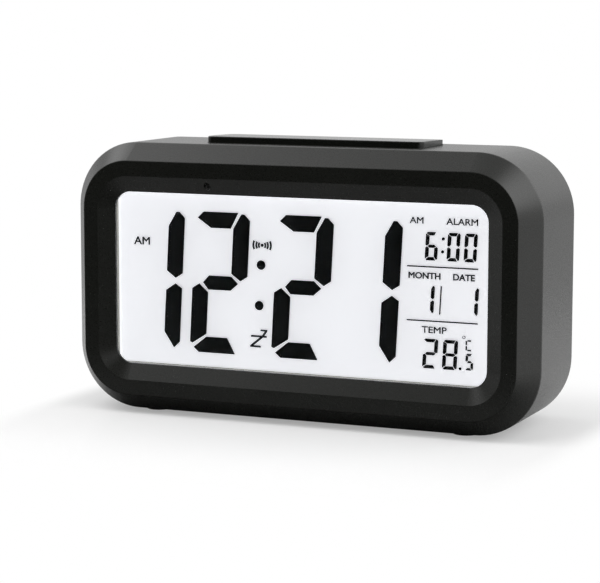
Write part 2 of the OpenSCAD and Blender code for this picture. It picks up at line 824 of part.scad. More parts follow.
module backlight_board() {
    color(board_green) {
        block(-glass_x, -glass_x + lamp_board_t, -lamp_board_h / 2, lamp_board_h / 2,
            guide_d0, reflector_d0);
        lamp_tabs(0);
    }
}

// Two tabs that reach through the films and the holder to the main board
module lamp_tabs(grow) {
    for (z = [-1, 1])
        block(-glass_x - grow, -glass_x + lamp_board_t + grow, z * lamp_tab_z - lamp_tab_w / 2 - grow,
            z * lamp_tab_z + lamp_tab_w / 2 + grow, reflector_d0 - eps, board_d0);
}

module backlight_lamps() {
    x0 = -glass_x + lamp_board_t;
    d0 = (guide_d0 + reflector_d0 - lamp_size[1]) / 2;
    color([1, 0.97, 0.8]) for (i = [0:lamp_count - 1]) {
        z = (i - (lamp_count - 1) / 2) * lamp_pitch;
        block(x0, x0 + lamp_size[0], z - lamp_size[2] / 2, z + lamp_size[2] / 2, d0, d0 + lamp_size[1]);
    }
}

// The seven strokes of a figure: top, upper right, lower right, bottom, lower left, upper left, middle
STROKES = [
    [1, 1, 1, 1, 1, 1, 0], [0, 1, 1, 0, 0, 0, 0], [1, 1, 0, 1, 1, 0, 1], [1, 1, 1, 1, 0, 0, 1],
    [0, 1, 1, 0, 0, 1, 1], [1, 0, 1, 1, 0, 1, 1], [1, 0, 1, 1, 1, 1, 1], [1, 1, 1, 0, 0, 0, 0],
    [1, 1, 1, 1, 1, 1, 1], [1, 1, 1, 1, 0, 1, 1]
];

function strokes(w, h, v, g) =
    let (t = v * 0.9, m = v * 0.8, c = v * 0.35, k = h / 2, r = w - v) [
        [[g, h - c], [g + c, h], [r + t / 2 - 1.2 * g, h], [r - g, h - t], [v, h - t]],
        [[r + t / 2, h - g / 2], [w - c, h - g / 2], [w, h - g / 2 - c], [w, k + c + g / 2],
            [w - v / 2 + g / 2, k + g], [r, k + m / 2 + g], [r, h - t]],
        [[w - v / 2 + g / 2, k - g], [w, k - c - g / 2], [w, c + g], [w - c, g], [r, t + g],
            [r, k - m / 2 - g]],
        [[1.5 * g, c - g / 2], [c + 1.5 * g, 0], [r + t / 2, 0], [r - g / 2, t], [v, t]],
        [[v / 2 - g / 2, k - g / 2], [0, k - c], [0, c + 1.5 * g], [g, c + g], [v, t + g],
            [v, k - m / 2 - g]],
        [[v / 2 - g / 2, k + g / 2], [0, k + c], [0, h - c - 1.5 * g], [g, h - c - g], [v, h - t - g],
            [v, k + m / 2 + g]],
        [[v / 2 + g, k], [v, k + m / 2], [r, k + m / 2], [w - v / 2 - g / 3, k], [r, k - m / 2],
            [v, k - m / 2]]
    ];

// A leaning figure whose lower left corner stands at [x, z] from the middle of the display
module figure(n, x, z, w, h, v, g) {
    for (i = [0:6]) if (STROKES[n][i])
        polygon([for (p = strokes(w, h, v, g)[i]) [x + p[0] + lean * p[1], z + p[1]]]);
}

// Places on the display are drawn for a window of art_w by art_h and follow the real one
art_w = 108.3;
art_h = 47.7;
art_scale = min(open_w / art_w, open_h / art_h);

figure_x0 = -52.6;
figure_z0 = -20;
colon_z = [13.9, 25];
colon_drop = 3;

module time_row() {
    for (i = [0:3]) figure(time_figures[i], figure_x0 + i * figure_pitch + (i > 1 ? colon_space : 0),
        figure_z0, figure_w, figure_h, figure_stroke, figure_gap);
    colon_x = figure_x0 + 2 * figure_pitch + colon_space / 2 - (figure_pitch - figure_w) / 2;
    for (z = colon_z) translate([colon_x + lean * (z - colon_drop), figure_z0 + z]) circle(d = colon_d);
}

small_stroke = 1.03;
small_gap = 0.14;
small_w = 3.5;
small_h = 7.5;

alarm_x = [35.65, 41.7, 46.4];
alarm_z = 8.6;
alarm_colon_x = 40.5;
alarm_colon_z = [2.4, 5.8];
alarm_colon_d = 0.87;

module alarm_row() {
    for (i = [0:2])
        figure(alarm_figures[i], alarm_x[i], alarm_z, small_w, small_h, small_stroke, small_gap);
    for (z = alarm_colon_z)
        translate([alarm_colon_x + lean * z, alarm_z + z]) circle(d = alarm_colon_d);
}

date_x = [34.75, 46.9];
date_z = -5.5;

module date_row() {
    for (i = [0, 1]) figure(date_figures[i], date_x[i], date_z, small_w, small_h, small_stroke, small_gap);
}

degree_x = [35.2, 40.7];
degree_w = 4.1;
degree_h = 7.9;
degree_z = -20;
point_at = [45.8, -19.5];
point_d = 0.8;
tenth_at = [47.1, -19.8];
tenth_w = 2.2;
tenth_h = 4.4;
tenth_stroke = 0.72;

module temperature_row() {
    for (i = [0, 1])
        figure(degree_figures[i], degree_x[i], degree_z, degree_w, degree_h, small_stroke, small_gap);
    translate(point_at) circle(d = point_d);
    figure(degree_figures[2], tenth_at[0], tenth_at[1], tenth_w, tenth_h, tenth_stroke, small_gap);
}

rule_t = 0.37;
rule_x0 = 30.8;
rule_l = 19.7;
rule_z = [6.9, -7.4];
divider_x = 39.8;
divider_z = -5.6;
divider_h = 7.6;

module rules() {
    for (z = rule_z) translate([rule_x0, z - rule_t / 2]) square([rule_l, rule_t]);
    polygon([for (p = [[0, 0], [rule_t, 0], [rule_t, divider_h], [0, divider_h]])
        [divider_x + p[0] + lean * p[1], divider_z + p[1]]]);
}

module lcd_segments() {
    color([0.05, 0.07, 0.08]) plate(segment_d0, rear_glass_d0) scale([art_scale, art_scale]) {
        time_row();
        alarm_row();
        date_row();
        temperature_row();
        rules();
    }
}

// The four ears at the sides of the display holder and the main board
module lugs(d0, d1) {
    lug_rods(front_y + d0, front_y + d1, lug_d);
    for (x = [-1, 1], z = [-1, 1])
        block(min(x * lug_x, x * holder_x), max(x * lug_x, x * holder_x), z * lug_z - lug_d / 2,
            z * lug_z + lug_d / 2, d0, d1);
}

module display_holder() {
    boss_w = pipe_d + 3;
    color([0.86, 0.87, 0.88]) difference() {
        union() {
            block(-holder_x, holder_x, holder_z0, holder_z1, glass_d0, board_d0);
            lugs(lug_d0, board_d0);
            block(pipe_x - boss_w / 2, pipe_x + boss_w / 2, holder_z1 - 1, pipe_z + boss_w / 2,
                glass_d0, board_d0);
        }
        block(-glass_x - glass_gap, glass_x + glass_gap, glass_z0 - glass_gap, glass_z1 + glass_gap,
            glass_d0 - 1, guide_d0);
        block(-glass_x - glass_gap, glass_x + glass_gap, stack_z0 - glass_gap / 2, glass_z1 + glass_gap,
            guide_d0 - 1, plate_d0);
        block(-holder_x + holder_wall, holder_x - holder_wall, stack_z0 + board_ledge_h,
            holder_z1 - holder_wall, plate_d1, board_d0 + 1);
        block(-glass_x + holder_floor_side, glass_x - holder_floor_side, stack_z0 + holder_floor_end,
            glass_z1 - holder_floor_end, plate_d0 - 1, board_d0 + 1);
        block(-elastomer_l / 2 - glass_gap, elastomer_l / 2 + glass_gap, glass_z0 - glass_gap,
            stack_z0 + eps, guide_d0 - 1, board_d0 + 1);
        lug_rods(front_y, front_y + board_d0 + 1, board_screw_d + 2 * screw_clear);
        lamp_tabs(pipe_gap);
        rod_y(pipe_x, mid_z + pipe_z, front_y, front_y + board_d0 + 1, pipe_d + 2 * pipe_gap);
        block(pipe_x - sensor_size[0] / 2 - pipe_gap, pipe_x + sensor_size[0] / 2 + pipe_gap,
            pipe_z - sensor_size[2] / 2 - pipe_gap, pipe_z + sensor_size[2] / 2 + pipe_gap,
            pipe_end_d - pipe_gap, board_d0 + 1);
    }
}

module elastomer_connector() {
    color([0.75, 0.45, 0.5]) block(-elastomer_l / 2, elastomer_l / 2, elastomer_z - elastomer_h / 2,
        elastomer_z + elastomer_h / 2, segment_d0, board_d0);
}

// ---- Main board ----

module main_board() {
    color(board_green) difference() {
        union() {
            block(-holder_x, holder_x, holder_z0, holder_z1, board_d0, board_d1);
            lugs(board_d0, board_d1);
        }
        lug_rods(front_y + board_d0 - 1, front_y + board_d1 + 1, board_screw_d + 2 * screw_clear);
    }
}

// Puts a part on the rear face of the main board, with its own Z pointing to the rear
module on_board(at) {
    translate([at[0], front_y + board_d1, mid_z + at[1]]) rotate([-90, 0, 0]) children();
}

chip_at = [-10, 4];
crystal_at = [16, 10];
crystal_d = 2;
crystal_l = 6;
crystal_leg = 2;
crystal_leg_d = 0.3;
capacitor_at = [[-22, -12], [-28, -12]];
capacitor_d = 5;
capacitor_h = 5.4;
resistor_at = [-16, -6];
resistor_pitch = 4;
resistor_size = [1.6, 0.8, 0.5];
thermistor_at = [-holder_x + 6.8, holder_z0 + 8.9];
thermistor_d = 2.2;
thermistor_leg = 4;
thermistor_leg_d = 0.4;

module clock_chip() {
    blob_d = 13;
    blob_h = 1.3;
    ball_r = (blob_d * blob_d / 4 + blob_h * blob_h) / (2 * blob_h);
    edge_a = asin(blob_d / 2 / ball_r);
    color([0.06, 0.06, 0.06]) on_board(chip_at) rotate_extrude() polygon(concat([[0, 0]],
        [for (t = [1:-0.125:0]) [ball_r * sin(edge_a * t), blob_h - ball_r + ball_r * cos(edge_a * t)]]));
}

module quartz_crystal() {
    r = crystal_d / 2;
    leg_y = 0.35 * r;
    color(steel) on_board(crystal_at) {
        translate([0, 0, r]) rotate([0, 90, 0]) cylinder(d = crystal_d, h = crystal_l);
        for (y = [-leg_y, leg_y]) {
            translate([-crystal_leg, y, r]) rotate([0, 90, 0])
                cylinder(d = crystal_leg_d, h = crystal_leg + eps);
            translate([-crystal_leg, y, 0]) cylinder(d = crystal_leg_d, h = r + crystal_leg_d / 2);
        }
    }
}

module capacitors() {
    color([0.12, 0.14, 0.3]) for (at = capacitor_at) on_board(at) cylinder(d = capacitor_d, h = capacitor_h);
}

module chip_resistors() {
    color([0.1, 0.1, 0.1]) for (i = [0:5]) on_board(resistor_at + [resistor_pitch * i, 0])
        translate([-resistor_size[0] / 2, -resistor_size[1] / 2, 0]) cube(resistor_size);
}

module thermistor() {
    color([0.15, 0.3, 0.2]) on_board(thermistor_at) {
        translate([0, 0, thermistor_leg]) sphere(d = thermistor_d);
        for (x = [-1, 1]) translate([x * thermistor_d / 4, 0, 0])
            cylinder(d = thermistor_leg_d, h = thermistor_leg);
    }
}

module light_pipe() {
    color(clear) rod_y(pipe_x, mid_z + pipe_z, front_y + pipe_depth, front_y + pipe_end_d, pipe_d);
}

module light_sensor() {
    color([0.2, 0.2, 0.22]) block(pipe_x - sensor_size[0] / 2, pipe_x + sensor_size[0] / 2,
        pipe_z - sensor_size[2] / 2, pipe_z + sensor_size[2] / 2, pipe_end_d, board_d0);
}

module board_screws() {
    color(steel) {
        for (x = [-1, 1], z = [-1, 1])
            translate([x * lug_x, front_y + board_d1, mid_z + z * lug_z]) rotate([-90, 0, 0])
                screw(board_screw_d, lug_screw_l, board_head_d, board_head_h);
        for (x = [-1, 1]) translate([x * snooze_post_x, bar_y, snooze_board_z - board_t])
            rotate([180, 0, 0]) screw(board_screw_d, board_screw_l, board_head_d, board_head_h);
        for (x = button_post_x) translate([x, button_board_y - board_t, controls_z])
            rotate([90, 0, 0]) screw(board_screw_d, board_screw_l, board_head_d, board_head_h);
    }
}

// ---- Snooze bar ----

module snooze_bar() {
    boss_d = spring_d + 2 * spring_boss_wall;
    roof = bar_top - bar_wall;
    guide_d = spring_d - spring_wire - 2 * spring_guide_gap;
    color(case_black) translate([0, bar_y, 0]) {
        difference() {
            union() {
                difference() {
                    pad_up(bar_l, bar_w, bar_r, [[0, flange_z0], [0, bar_top - bar_edge], [bar_edge, bar_top]]);
                    // the slope behind the crest
                    translate([-bar_l, bar_w / 2 - slope_run, bar_top]) rotate([-slope_angle, 0, 0])
                        cube([2 * bar_l, 2 * bar_w, 2 * bar_proud]);
                }
                translate([0, 0, flange_z0]) linear_extrude(flange_t)
                    rounded(bar_l + 2 * flange_out, bar_w + 2 * flange_out, bar_r + flange_out);
            }
            translate([0, 0, flange_z0 - 1]) linear_extrude(roof - flange_z0 + 1)
                rounded(bar_l - 2 * bar_wall, bar_w - 2 * bar_wall, bar_hollow_r);
        }
        translate([0, 0, snooze_press_z]) cylinder(d = press_post_d, h = roof - snooze_press_z + eps);
        for (x = [-1, 1]) translate([x * spring_x, 0, 0]) {
            translate([0, 0, flange_z0]) cylinder(d = boss_d, h = roof - flange_z0 + eps);
            translate([0, 0, flange_z0 - spring_guide_l]) cylinder(d = guide_d, h = spring_guide_l + eps);
        }
    }
}

module snooze_springs() {
    color(steel) for (x = [-1, 1]) translate([x * spring_x, bar_y, snooze_board_z])
        coil(spring_d, spring_d, flange_z0 - snooze_board_z, spring_wire, snooze_turns);
}

module snooze_switch() {
    color(switch_black) translate([0, bar_y, snooze_board_z]) tact_body();
}

module snooze_plunger() {
    color([0.8, 0.8, 0.8]) translate([0, bar_y, snooze_board_z]) tact_plunger(snooze_plunger_up);
}

module snooze_board() {
    color(board_green) difference() {
        translate([0, bar_y, snooze_board_z - board_t / 2])
            cube([snooze_board_l, snooze_board_w, board_t], center = true);
        for (x = [-1, 1]) translate([x * snooze_post_x, bar_y, snooze_board_z - board_t - 1])
            cylinder(d = board_screw_d + 2 * screw_clear, h = board_t + 2);
    }
}

// ---- Rear controls ----

// Puts a part on the rear face of the button board, with its own Z pointing to the rear
module on_button_board(x) {
    translate([x, button_board_y, controls_z]) rotate([-90, 0, 0]) children();
}

module button_board() {
    color(board_green) difference() {
        translate([0, button_board_y, controls_z]) box_between(
            [button_post_x[0] - button_board_end, -board_t, -button_board_h / 2],
            [button_post_x[1] + button_board_end, 0, button_board_h / 2]);
        for (x = button_post_x) rod_y(x, controls_z, button_board_y - board_t - 1, button_board_y + 1,
            board_screw_d + 2 * screw_clear);
    }
}

module button_switches() {
    color(switch_black) for (x = button_x) on_button_board(x) tact_body();
}

module button_cap(i) {
    face = rear_y - button_below - button_press_y;
    r = button_d / 2;
    flange_r = r + button_flange_out;
    flange_end = button_stem_l + button_flange_t;
    color([0.16, 0.165, 0.175]) translate([button_x[i], button_press_y, controls_z]) rotate([-90, 0, 0])
        rotate_extrude() polygon([
            [0, 0], [button_stem_r, 0], [button_stem_r, button_stem_l], [flange_r, button_stem_l],
            [flange_r, flange_end], [r, flange_end], [r, face - button_edge], [r - button_edge, face],
            [r - button_dish_rim, face], [0, face - button_dish_d]
        ]);
}

module button_plunger(i) {
    color([0.8, 0.8, 0.8]) on_button_board(button_x[i]) tact_plunger(button_plunger_up);
}

module sensor_switch() {
    wide = slider_foot[0] + slider_travel + 2 * slider_gap;
    color(switch_black) difference() {
        on_button_board(slider_x) translate([0, 0, switch_h / 2])
            cube([slider_body[0], slider_body[1], switch_h], center = true);
        on_button_board(slider_x) translate([0, 0, switch_h])
            cube([wide, slider_foot[1] + 2 * slider_gap, 2 * slider_well_d], center = true);
    }
}

module sensor_slider() {
    x = slider_x - slider_travel / 2;
    foot_y = button_board_y + switch_h - slider_foot_d;
    grip_y = pocket_in_y - slider_grip_in;
    face_y = rear_y - button_below;
    color([0.16, 0.165, 0.175]) difference() {
        union() {
            box_between([x - slider_foot[0] / 2, foot_y, controls_z - slider_foot[1] / 2],
                [x + slider_foot[0] / 2, grip_y + eps, controls_z + slider_foot[1] / 2]);
            box_between([x - slider_l / 2, grip_y, controls_z - slider_h / 2],
                [x + slider_l / 2, face_y, controls_z + slider_h / 2]);
        }
        for (i = [-1, 0, 1]) box_between(
            [x + ridge_step * i - ridge_w / 2, face_y - ridge_d, controls_z - slider_h],
            [x + ridge_step * i + ridge_w / 2, rear_y, controls_z + slider_h]);
    }
}

// ---- Sounder ----

module sounder_case() {
    color([0.1, 0.1, 0.1]) difference() {
        rod_y(sounder_x, sounder_z, sounder_y - sounder_h, sounder_y, sounder_d);
        rod_y(sounder_x, sounder_z, sounder_y - sounder_h + sounder_wall, sounder_y + 1,
            sounder_d - 2 * (sounder_wall + sounder_ledge));
        rod_y(sounder_x, sounder_z, sounder_y - sounder_h / 2, sounder_y + 1, sounder_d - 2 * sounder_wall);
    }
}

module piezo_disc() {
    y = sounder_y - sounder_h / 2;
    color([0.78, 0.62, 0.25]) {
        rod_y(sounder_x, sounder_z, y, y + piezo_t, sounder_d - 2 * sounder_wall - 0.2);
        rod_y(sounder_x, sounder_z, y + piezo_t, y + 2 * piezo_t, sounder_d * 0.6);
    }
}

// ---- Cells and contacts ----

// The first and third cell have their button to the right, the second to the left
function cell_turn(i) = i == 1 ? -1 : 1;
function button_end_x(i) = i == 1 ? bay_x0 + plate_t + touch_gap : bay_x1 - plate_t - touch_gap;

module battery(i) {
    color([0.2, 0.36, 0.42]) translate([button_end_x(i), cell_y, cell_z[i]])
        rotate([0, -90 * cell_turn(i), 0]) rotate_extrude() polygon([
            [0, 0], [cell_nub_d / 2, 0], [cell_nub_d / 2, cell_nub_l], [cell_d / 2 - 0.5, cell_nub_l],
            [cell_d / 2, cell_nub_l + 0.5], [cell_d / 2, cell_l - 0.4], [cell_d / 2 - 0.4, cell_l],
            [0, cell_l]
        ]);
}

module contact_plate(x, cells) {
    low = min([for (i = cells) cell_z[i]]) - plate_w / 2;
    high = max([for (i = cells) cell_z[i]]) + plate_w / 2;
    box_between([x, bay_floor_y, low], [x + plate_t, bay_floor_y + plate_h, high]);
}

// The tabs of the two end contacts pass through the floor of the bay to their leads
tab_w = 2.4;
tab_end_y = bay_floor_y - bay_wall - 1.5;
tab_at = [[bay_x0, cell_z[0]], [bay_x1 - plate_t, cell_z[2]]];

module contact_tab(at, grow) {
    box_between([at[0] - grow, tab_end_y, at[1] - tab_w / 2 - grow],
        [at[0] + plate_t + grow, bay_floor_y + eps, at[1] + tab_w / 2 + grow]);
}

module contact_plates() {
    color(steel) {
        contact_plate(bay_x0, [0]);
        contact_plate(bay_x0, [1, 2]);
        contact_plate(bay_x1 - plate_t, [0, 1]);
        contact_plate(bay_x1 - plate_t, [2]);
        for (at = tab_at) contact_tab(at, 0);
    }
}

module contact_springs() {
    color(steel) for (i = [0:2]) {
        x = i == 1 ? bay_x1 - plate_t : bay_x0 + plate_t;
        translate([x, cell_y, cell_z[i]]) rotate([0, 90 * cell_turn(i), 0])
            coil(contact_coil_d[0], contact_coil_d[1], cell_spring_l + touch_gap, contact_wire,
                contact_turns);
    }
}

// ---- Leads ----

lead_d = 1.1;
lead_gap = 0.1;
main_rear_y = front_y + board_d1 + lead_gap;
battery_lead_off = [5, 3];
sounder_lead_at = 2;
sounder_lead_off = [4, 2];
board_lead_x = button_x[0] + 6;
board_lead_pitch = 2;
board_lead_down = 2;
board_lead_drop = 5;

// A lead that leaves and arrives along Y
module lead(from, to) {
    bow = (from[1] - to[1]) * 0.45;
    wire(curve(from, from - [0, bow, 0], to + [0, bow, 0], to), lead_d, 8, [0, 0, 1]);
}

module battery_leads() {
    color([0.7, 0.1, 0.1]) for (at = tab_at)
        lead([at[0] + plate_t / 2, tab_end_y - lead_gap, at[1]],
            [at[0] - battery_lead_off[0], main_rear_y, at[1] - battery_lead_off[1]]);
}

module sounder_leads() {
    color([0.1, 0.1, 0.1]) for (off = [-sounder_lead_at, sounder_lead_at])
        lead([sounder_x + off, sounder_y - sounder_h - lead_gap, sounder_z + off],
            [sounder_x + off + sounder_lead_off[0], main_rear_y, sounder_z + off + sounder_lead_off[1]]);
}

module board_leads() {
    color([0.8, 0.8, 0.75]) for (i = [0:3])
        lead([board_lead_x + board_lead_pitch * i, button_board_y - board_t - lead_gap,
            controls_z - board_lead_down],
            [board_lead_x + board_lead_pitch * i, main_rear_y,
                controls_z - board_lead_down - board_lead_drop]);
}

front_shell();
rear_cover();
battery_door();
case_screws();
rubber_feet();
lens_tape();
display_lens();
front_polariser();
front_glass();
edge_seal();
lcd_segments();
rear_glass();
rear_polariser();
diffuser_film();
light_guide();
reflector_film();
backlight_board();
backlight_lamps();
display_holder();
elastomer_connector();
main_board();
clock_chip();
quartz_crystal();
capacitors();
chip_resistors();
thermistor();
light_pipe();
light_sensor();
board_screws();
snooze_bar();
snooze_springs();
snooze_plunger();
snooze_switch();
snooze_board();
button_board();
button_switches();
button_cap(0);  // set_button
button_cap(1);  // alarm_button
button_cap(2);  // up_button
button_cap(3);  // down_button
button_plunger(0);  // set_plunger
button_plunger(1);  // alarm_plunger
button_plunger(2);  // up_plunger
button_plunger(3);  // down_plunger
sensor_switch();
sensor_slider();
sounder_case();
piezo_disc();
battery(0);  // battery_1
battery(1);  // battery_2
battery(2);  // battery_3
contact_plates();
contact_springs();
battery_leads();
sounder_leads();
board_leads();
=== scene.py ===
"""Looks of a bedside alarm clock: a black sleeve case with a bevelled frame round a segment display."""
import json
import math

import bmesh
import bpy
from mathutils import Matrix, Vector


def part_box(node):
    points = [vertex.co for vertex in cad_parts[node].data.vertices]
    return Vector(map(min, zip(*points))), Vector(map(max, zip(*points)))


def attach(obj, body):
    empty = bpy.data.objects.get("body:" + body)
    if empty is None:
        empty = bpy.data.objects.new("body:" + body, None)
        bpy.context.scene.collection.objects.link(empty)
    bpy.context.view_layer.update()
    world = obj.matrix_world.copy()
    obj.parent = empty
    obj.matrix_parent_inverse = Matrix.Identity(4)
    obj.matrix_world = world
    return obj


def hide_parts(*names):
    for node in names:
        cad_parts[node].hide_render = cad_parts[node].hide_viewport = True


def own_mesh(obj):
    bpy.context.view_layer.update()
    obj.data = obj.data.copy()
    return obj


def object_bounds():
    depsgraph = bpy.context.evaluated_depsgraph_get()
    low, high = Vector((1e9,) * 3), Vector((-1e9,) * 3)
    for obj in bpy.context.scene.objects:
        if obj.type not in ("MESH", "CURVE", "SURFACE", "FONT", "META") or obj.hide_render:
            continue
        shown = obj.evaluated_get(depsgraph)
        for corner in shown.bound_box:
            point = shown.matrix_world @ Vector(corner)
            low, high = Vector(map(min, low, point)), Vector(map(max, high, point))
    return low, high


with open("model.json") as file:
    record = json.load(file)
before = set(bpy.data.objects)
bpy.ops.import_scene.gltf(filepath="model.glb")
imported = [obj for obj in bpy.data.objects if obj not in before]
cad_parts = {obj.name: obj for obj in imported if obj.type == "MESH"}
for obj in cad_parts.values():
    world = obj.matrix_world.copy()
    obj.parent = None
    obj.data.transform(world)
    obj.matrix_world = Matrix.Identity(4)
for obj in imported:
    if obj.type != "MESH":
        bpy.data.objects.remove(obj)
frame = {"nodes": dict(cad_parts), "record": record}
cad_box = [list(corner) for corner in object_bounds()]

MM = 0.001
WHITE = (1, 1, 1, 1)
# a Mix node's colour inputs and output, which share their names with its other kinds
MIX_A, MIX_B, MIX_RESULT = 6, 7, 2
NODES = frame["nodes"]
CASE_LOW, CASE_HIGH = (Vector(corner) for corner in cad_box)


# ---------------------------------------------------------------- helpers

def linear(code):
    """Turns an sRGB hex colour into the linear colour that the shaders take."""
    parts = [int(code[i:i + 2], 16) / 255 for i in (1, 3, 5)]
    return tuple(c / 12.92 if c <= 0.04045 else ((c + 0.055) / 1.055) ** 2.4 for c in parts) + (1.0,)


def add(owner, kind, sockets=None, **settings):
    """Adds one node to a material or the world, with its settings and the values or links of its sockets."""
    tree = owner.node_tree
    made = tree.nodes.new("ShaderNode" + kind)
    for name, value in settings.items():
        setattr(made, name, value)
    for name, value in (sockets or {}).items():
        if isinstance(value, bpy.types.NodeSocket):
            tree.links.new(value, made.inputs[name])
        else:
            made.inputs[name].default_value = value
    return made


def new_material(name):
    """An empty node material with the output that its shader is linked to."""
    material = bpy.data.materials.new(name)
    material.use_nodes = True
    material.node_tree.nodes.clear()
    return material


def finish_material(material, shader):
    """Links the last shader to the surface."""
    add(material, "OutputMaterial", {"Surface": shader})
    return material


def noise(material, size, detail=2.0):
    """A noise whose cells are about size across, in metres, on the object's own coordinates."""
    place = add(material, "TexCoord").outputs["Object"]
    return add(material, "TexNoise", {"Vector": place, "Scale": 1 / size, "Detail": detail})


def spread(material, value, low, high):
    """Spreads a noise's value, which is mostly from 0.3 to 0.7, between low and high."""
    return add(material, "MapRange", {"Value": value, "From Min": 0.3, "From Max": 0.7,
                                      "To Min": low, "To Max": high}).outputs["Result"]


def shape_mesh(name, shape):
    """Turns a finished shape into a mesh."""
    mesh = bpy.data.meshes.new(name)
    shape.to_mesh(mesh)
    shape.free()
    return mesh


# ---------------------------------------------------------------- camera, lamp, room and floor

def make_camera():
    """A long lens a little above and to the right of the clock."""
    data = bpy.data.cameras.new("camera")
    data.sensor_width = 36
    data.lens = 129.11
    camera = bpy.data.objects.new("camera", data)
    place = Matrix.Translation((0.22807, -0.54309, 0.11244))
    turn = Matrix.Rotation(0.40897, 4, "Z")
    tip = Matrix.Rotation(math.pi / 2 - 0.13223, 4, "X")
    roll = Matrix.Rotation(0.00102, 4, "Z")
    camera.matrix_world = place @ turn @ tip @ roll
    bpy.context.scene.collection.objects.link(camera)
    bpy.context.scene.camera = camera


def make_room():
    """The studio that gloss sees and that lights the clock. The camera and clear sheets see plain white.

    It has soft boxes overhead and at both sides, pale walls behind the clock and a dark camera side.
    """
    world = bpy.data.worlds.new("studio")
    bpy.context.scene.world = world
    world.use_nodes = True
    world.node_tree.nodes.clear()
    way = add(world, "SeparateXYZ", {"Vector": add(world, "TexCoord").outputs["Generated"]})
    # each panel: its strength, then the sky that it fills, as an axis, where it starts and where it is full
    panels = [(0.7, [("Y", 0.1, 0.5)]),
              (0.9, [("Y", 0.3, 0.7), ("Z", -0.05, 0.1)]),
              (1.0, [("Y", 0.3, 0.7), ("Z", -0.12, -0.3)]),
              (0.65, [("Z", 0.5, 0.85)]),
              (2.3, [("X", -0.3, -0.6), ("Z", 0.3, 0.7)]),
              (3.0, [("X", 0.1, 0.7), ("Z", -0.05, 0.5)]),
              (1.1, [("X", 0.55, 0.98)]),
              (0.55, [("X", -0.6, -0.98)])]
    level = None
    for strength, edges in panels:
        panel = strength
        for axis, start, full in edges:
            panel = add(world, "MapRange", {"Value": way.outputs[axis], "From Min": start,
                                            "From Max": full, "To Min": 0.0, "To Max": panel},
                        interpolation_type="SMOOTHSTEP").outputs["Result"]
        if level is None:
            level = panel
        else:
            level = add(world, "Math", {0: level, 1: panel}, operation="MAXIMUM").outputs[0]
    rays = add(world, "LightPath")
    seen = add(world, "Math", {0: rays.outputs["Is Camera Ray"], 1: rays.outputs["Is Transmission Ray"]},
               operation="MAXIMUM").outputs[0]
    # the soft boxes light the clock a little less than its gloss shows them
    lit = 0.7
    share = add(world, "Math", {0: rays.outputs["Is Glossy Ray"], 1: 1 - lit, 2: lit},
                operation="MULTIPLY_ADD").outputs[0]
    given = add(world, "Math", {0: level, 1: share}, operation="MULTIPLY").outputs[0]
    room = add(world, "Background", {"Color": WHITE, "Strength": given})
    white = add(world, "Background", {"Color": WHITE, "Strength": 1.0})
    both = add(world, "MixShader", {0: seen, 1: room.outputs[0], 2: white.outputs[0]})
    add(world, "OutputWorld", {"Surface": both.outputs[0]})


def make_lamp(name, place, size, power):
    """A square soft box behind a crossed filter: it lights the clock and leaves no highlight on gloss."""
    data = bpy.data.lights.new(name, "AREA")
    data.shape = "SQUARE"
    data.size = size
    data.energy = power
    lamp = bpy.data.objects.new(name, data)
    mid_clock = Vector((0, 0, 0.04))
    aim = mid_clock - Vector(place)
    lamp.matrix_world = Matrix.Translation(place) @ aim.to_track_quat("-Z", "Y").to_matrix().to_4x4()
    lamp.visible_glossy = False
    bpy.context.scene.collection.objects.link(lamp)


